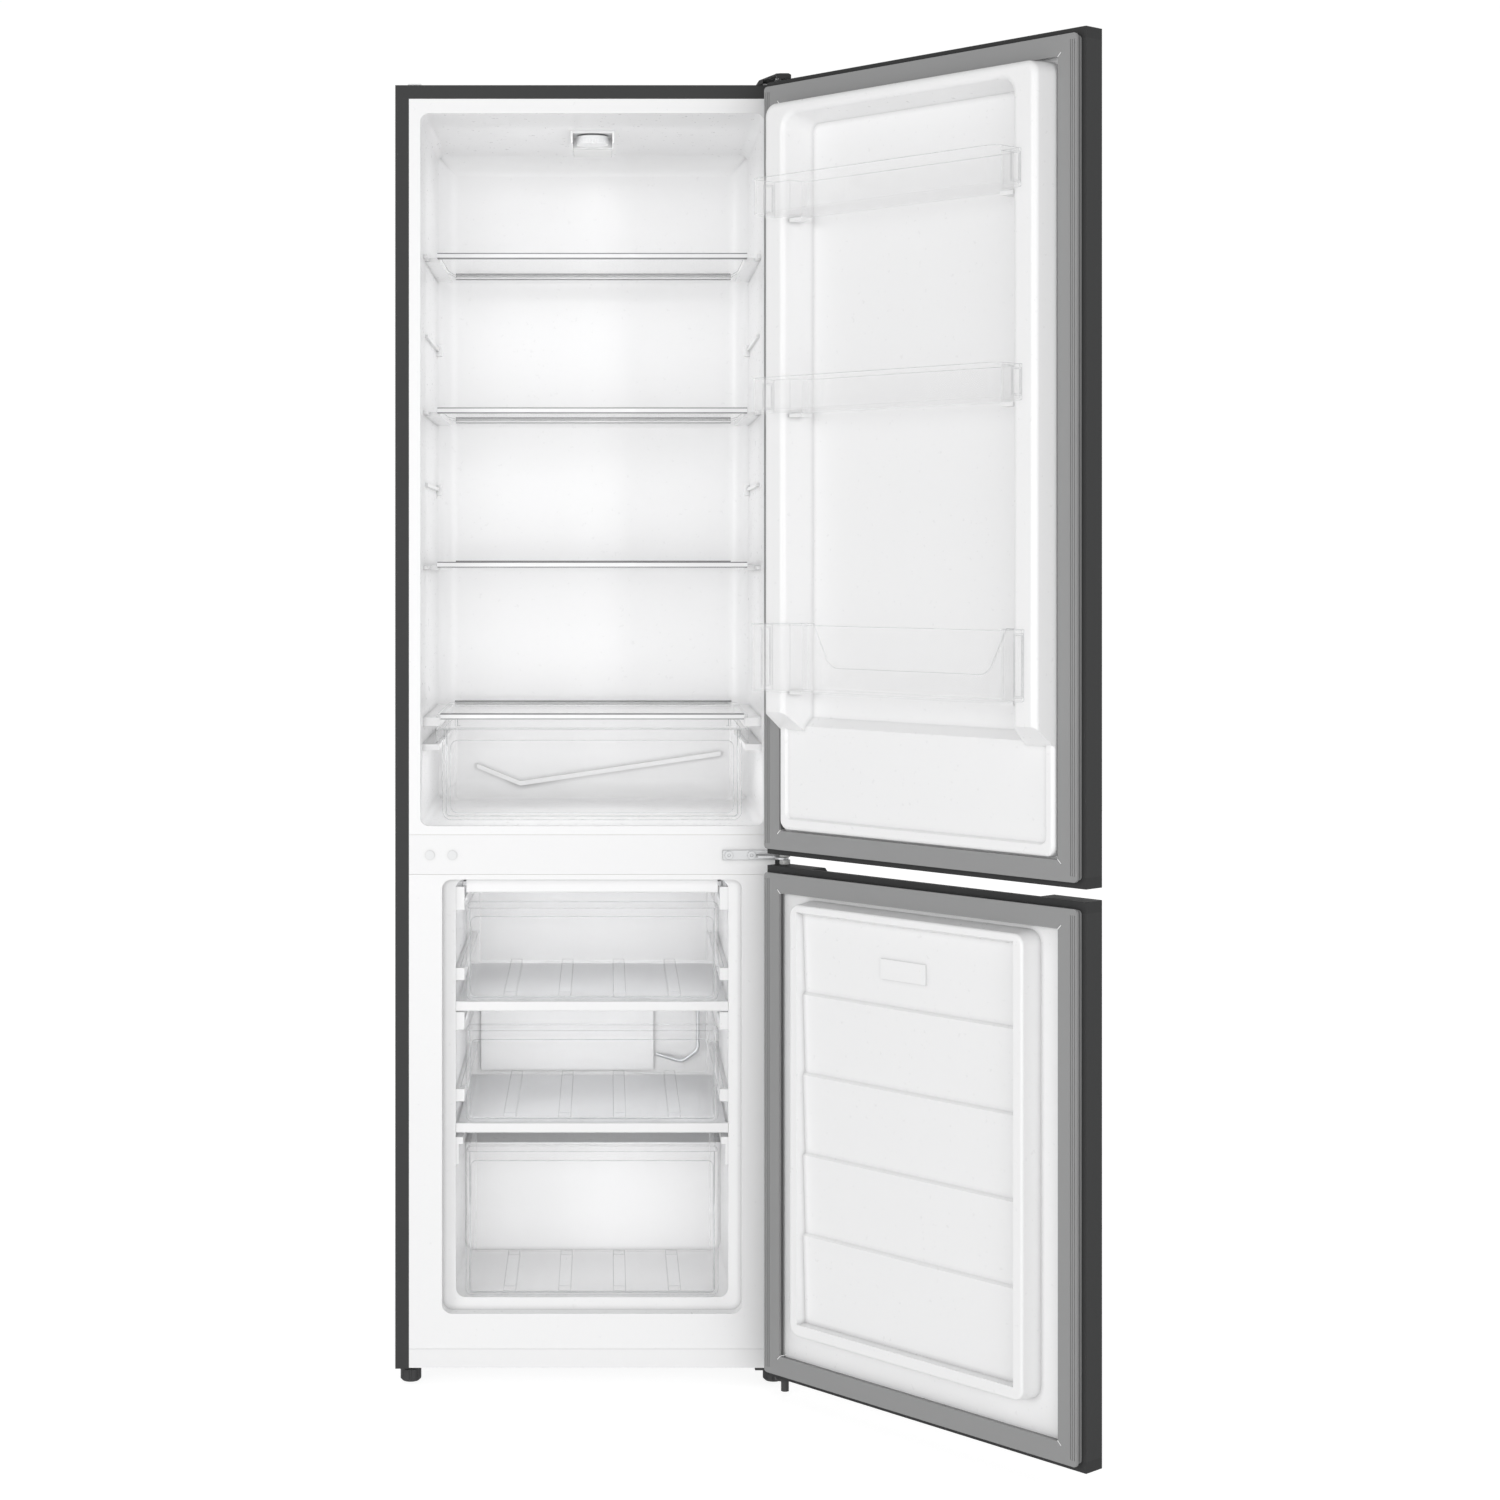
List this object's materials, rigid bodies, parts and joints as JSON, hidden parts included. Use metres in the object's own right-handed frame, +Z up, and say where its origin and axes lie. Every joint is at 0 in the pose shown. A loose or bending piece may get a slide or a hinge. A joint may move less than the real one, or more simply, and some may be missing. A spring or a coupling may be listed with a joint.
{
  "type": "bottom freezer refrigerator",
  "caption": "Free-standing bottom freezer refrigerator with hinged doors, glass shelves, crisper, door trays, freezer drawers, rear condenser and compressor.",
  "frame": {"origin": "on the floor, under the middle of the cabinet's front face", "axes": "+X to the refrigerator's right as seen from the front, +Y from the front to the back, +Z up"},
  "size_m": [0.9007, 1.0013, 1.8084],
  "materials": {
    "cabinet_paint": "satin",
    "door_paint": "satin",
    "cap_plastic": "matte",
    "hinge_cover_plastic": "matte",
    "back_paint": "satin",
    "galvanised": "satin",
    "foam": "matte",
    "fridge_liner_plastic": "gloss",
    "freezer_liner_plastic": "gloss",
    "door_liner_plastic": "gloss",
    "front_plastic": "gloss",
    "trim_plastic": "gloss",
    "shelf_glass": "clear",
    "drawer_clear": "clear",
    "freezer_drawer_clear": "clear",
    "tray_clear": "clear",
    "gasket_rubber": "matte",
    "bushing_plastic": "satin",
    "hinge_steel": "zinc plated",
    "pin_steel": "zinc plated",
    "plug_plastic": "satin",
    "foot_plastic": "matte",
    "compressor_paint": "satin",
    "mount_rubber": "matte",
    "pan_plastic": "satin",
    "condenser_paint": "satin",
    "thermostat_plastic": "satin",
    "dial_plastic": "satin",
    "lens_plastic": "frosted",
    "evaporator_plastic": "satin",
    "tube_aluminium": "satin"
  },
  "bodies": {
    "cabinet": {"cabinet_shell": "cabinet_paint", "back_panel": "back_paint", "bottom_panel": "galvanised", "insulation": "foam", "fridge_liner": "fridge_liner_plastic", "freezer_liner": "freezer_liner_plastic", "beam_cover": "front_plastic", "plinth": "front_plastic", "base_rails": "galvanised", "compressor_plate": "galvanised", "compressor": "compressor_paint", "compressor_mounts": "mount_rubber", "terminal_cover": "hinge_cover_plastic", "evaporation_pan": "pan_plastic", "condenser_tube": "condenser_paint", "condenser_wires": "condenser_paint", "top_hinge_bracket": "hinge_steel", "top_hinge_cover": "hinge_cover_plastic", "middle_hinge_bracket": "hinge_steel", "bottom_hinge_bracket": "hinge_steel", "hinge_pins": "pin_steel", "hinge_screws": "pin_steel", "blanking_plugs": "plug_plastic", "thermostat_housing": "thermostat_plastic", "lamp_lens": "lens_plastic", "evaporator_plates": "evaporator_plastic", "freezer_trims": "trim_plastic", "evaporator_tube": "tube_aluminium"},
    "fridge_door": {"fridge_door_skin": "door_paint", "fridge_door_caps": "cap_plastic", "fridge_door_foam": "foam", "fridge_door_liner": "door_liner_plastic", "fridge_door_gasket": "gasket_rubber", "fridge_door_bushings": "bushing_plastic"},
    "freezer_door": {"freezer_door_skin": "door_paint", "freezer_door_caps": "cap_plastic", "freezer_door_foam": "foam", "freezer_door_liner": "door_liner_plastic", "freezer_door_gasket": "gasket_rubber", "freezer_door_bushings": "bushing_plastic"},
    "tray_top": {"tray_top": "tray_clear"},
    "tray_middle": {"tray_middle": "tray_clear"},
    "tray_bottom": {"tray_bottom": "tray_clear"},
    "shelf_1": {"shelf_1_glass": "shelf_glass", "shelf_1_trims": "trim_plastic"},
    "shelf_2": {"shelf_2_glass": "shelf_glass", "shelf_2_trims": "trim_plastic"},
    "shelf_3": {"shelf_3_glass": "shelf_glass", "shelf_3_trims": "trim_plastic"},
    "crisper_cover": {"crisper_cover_glass": "shelf_glass", "crisper_cover_trims": "trim_plastic"},
    "crisper_drawer": {"crisper_drawer": "drawer_clear"},
    "freezer_drawer_1": {"freezer_drawer_1": "freezer_drawer_clear"},
    "freezer_drawer_2": {"freezer_drawer_2": "freezer_drawer_clear"},
    "freezer_drawer_3": {"freezer_drawer_3": "freezer_drawer_clear"},
    "thermostat_dial": {"thermostat_dial": "dial_plastic"},
    "foot_left": {"foot_left": "foot_plastic"},
    "foot_right": {"foot_right": "foot_plastic"},
    "roller_left": {"roller_left": "foot_plastic"},
    "roller_right": {"roller_right": "foot_plastic"}
  },
  "joints": [
    {"name": "fridge_door_hinge", "type": "hinge", "parent": "cabinet", "child": "fridge_door", "pos_m": [0.2648, -0.0384, 1.268], "axis": [0, 0, 1], "range_deg": [-132, 8]},
    {"name": "freezer_door_hinge", "type": "hinge", "parent": "cabinet", "child": "freezer_door", "pos_m": [0.2648, -0.0384, 0.378], "axis": [0, 0, 1], "range_deg": [-132, 8]},
    {"name": "tray_top_lift", "type": "slide", "parent": "fridge_door", "child": "tray_top", "axis": [0, 0, 1], "range_m": [0, 0.03]},
    {"name": "tray_middle_lift", "type": "slide", "parent": "fridge_door", "child": "tray_middle", "axis": [0, 0, 1], "range_m": [0, 0.03]},
    {"name": "tray_bottom_lift", "type": "slide", "parent": "fridge_door", "child": "tray_bottom", "axis": [0, 0, 1], "range_m": [0, 0.03]},
    {"name": "shelf_1_slide", "type": "slide", "parent": "cabinet", "child": "shelf_1", "axis": [0, -1, 0], "range_m": [0, 0.2]},
    {"name": "shelf_2_slide", "type": "slide", "parent": "cabinet", "child": "shelf_2", "axis": [0, -1, 0], "range_m": [0, 0.2]},
    {"name": "shelf_3_slide", "type": "slide", "parent": "cabinet", "child": "shelf_3", "axis": [0, -1, 0], "range_m": [0, 0.2]},
    {"name": "crisper_cover_slide", "type": "slide", "parent": "cabinet", "child": "crisper_cover", "axis": [0, -1, 0], "range_m": [0, 0.2]},
    {"name": "crisper_drawer_slide", "type": "slide", "parent": "cabinet", "child": "crisper_drawer", "axis": [0, -1, 0], "range_m": [0, 0.3]},
    {"name": "freezer_drawer_1_slide", "type": "slide", "parent": "cabinet", "child": "freezer_drawer_1", "axis": [0, -1, 0], "range_m": [0, 0.3]},
    {"name": "freezer_drawer_2_slide", "type": "slide", "parent": "cabinet", "child": "freezer_drawer_2", "axis": [0, -1, 0], "range_m": [0, 0.3]},
    {"name": "freezer_drawer_3_slide", "type": "slide", "parent": "cabinet", "child": "freezer_drawer_3", "axis": [0, -1, 0], "range_m": [0, 0.22]},
    {"name": "thermostat_turn", "type": "hinge", "parent": "cabinet", "child": "thermostat_dial", "pos_m": [0, 0.175, 1.75], "axis": [0, 0, 1], "range_deg": [-150, 150]},
    {"name": "foot_left_turn", "type": "hinge", "parent": "cabinet", "child": "foot_left", "pos_m": [-0.2525, 0.026, 0.009], "axis": [0, 0, 1], "continuous": true},
    {"name": "foot_right_turn", "type": "hinge", "parent": "cabinet", "child": "foot_right", "pos_m": [0.2525, 0.026, 0.009], "axis": [0, 0, 1], "continuous": true},
    {"name": "roller_left_turn", "type": "hinge", "parent": "cabinet", "child": "roller_left", "pos_m": [-0.2515, 0.47, 0.014], "axis": [1, 0, 0], "continuous": true},
    {"name": "roller_right_turn", "type": "hinge", "parent": "cabinet", "child": "roller_right", "pos_m": [0.2515, 0.47, 0.014], "axis": [1, 0, 0], "continuous": true}
  ]
}
